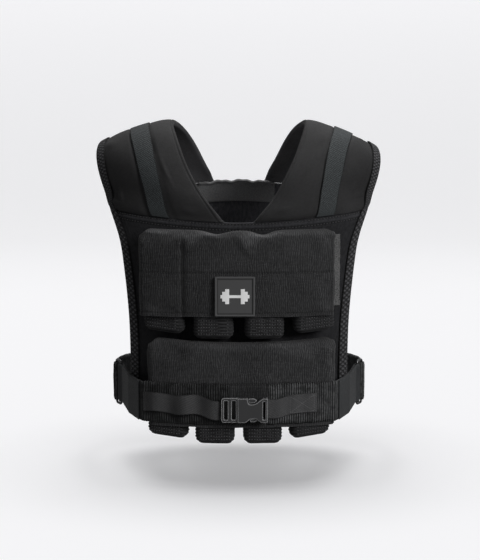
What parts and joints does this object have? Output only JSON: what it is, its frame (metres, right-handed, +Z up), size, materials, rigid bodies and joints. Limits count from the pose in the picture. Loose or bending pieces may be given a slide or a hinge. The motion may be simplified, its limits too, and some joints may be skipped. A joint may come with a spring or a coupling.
{
  "type": "weighted vest",
  "caption": "Short padded vest for training with weight pouches under two cover flaps, wide shoulder straps and an elastic belt with a side-release buckle, in its worn form.",
  "frame": {"origin": "between the shoulders on the middle plane, level with the underside of the strap crowns, where the vest sits on its wearer", "axes": "+X to the right as seen from the front, -Y out of the chest, +Z up"},
  "size_m": [0.372, 0.2599, 0.4049],
  "materials": {
    "panel_cloth": "matte woven cloth",
    "strap_cloth": "smooth matte knit-faced cloth",
    "webbing": "woven webbing with a slight sheen",
    "binding": "ribbed knitted binding",
    "flap_cloth": "heavy woven cloth with an upright grain",
    "pouch_cloth": "ribbed woven cloth",
    "loop_tape": "fuzzy loop pile",
    "patch_rubber": "matte moulded rubber",
    "emblem": "matte moulded rubber",
    "elastic": "ribbed elastic",
    "ring_metal": "gloss black coat",
    "buckle_plastic": "satin moulded plastic"
  },
  "bodies": {
    "root": {"front_panel": "panel_cloth", "back_panel": "panel_cloth", "shoulder_strap_left": "strap_cloth", "shoulder_strap_right": "strap_cloth", "shoulder_webbing_left": "webbing", "shoulder_webbing_right": "webbing", "armhole_binding_left": "binding", "armhole_binding_right": "binding", "upper_flap": "flap_cloth", "lower_flap": "flap_cloth", "upper_pouch_1": "pouch_cloth", "upper_pouch_2": "pouch_cloth", "upper_pouch_3": "pouch_cloth", "upper_pouch_4": "pouch_cloth", "lower_pouch_1": "pouch_cloth", "lower_pouch_2": "pouch_cloth", "lower_pouch_3": "pouch_cloth", "lower_pouch_4": "pouch_cloth", "loop_tape": "loop_tape", "patch": "patch_rubber", "patch_emblem": "emblem", "front_belt_left": "elastic", "front_belt_right": "elastic", "back_belt": "elastic", "belt_ring_left": "ring_metal", "belt_ring_right": "ring_metal", "webbing_left": "webbing", "webbing_right": "webbing", "buckle_latch": "buckle_plastic", "buckle_receiver": "buckle_plastic"}
  },
  "joints": []
}
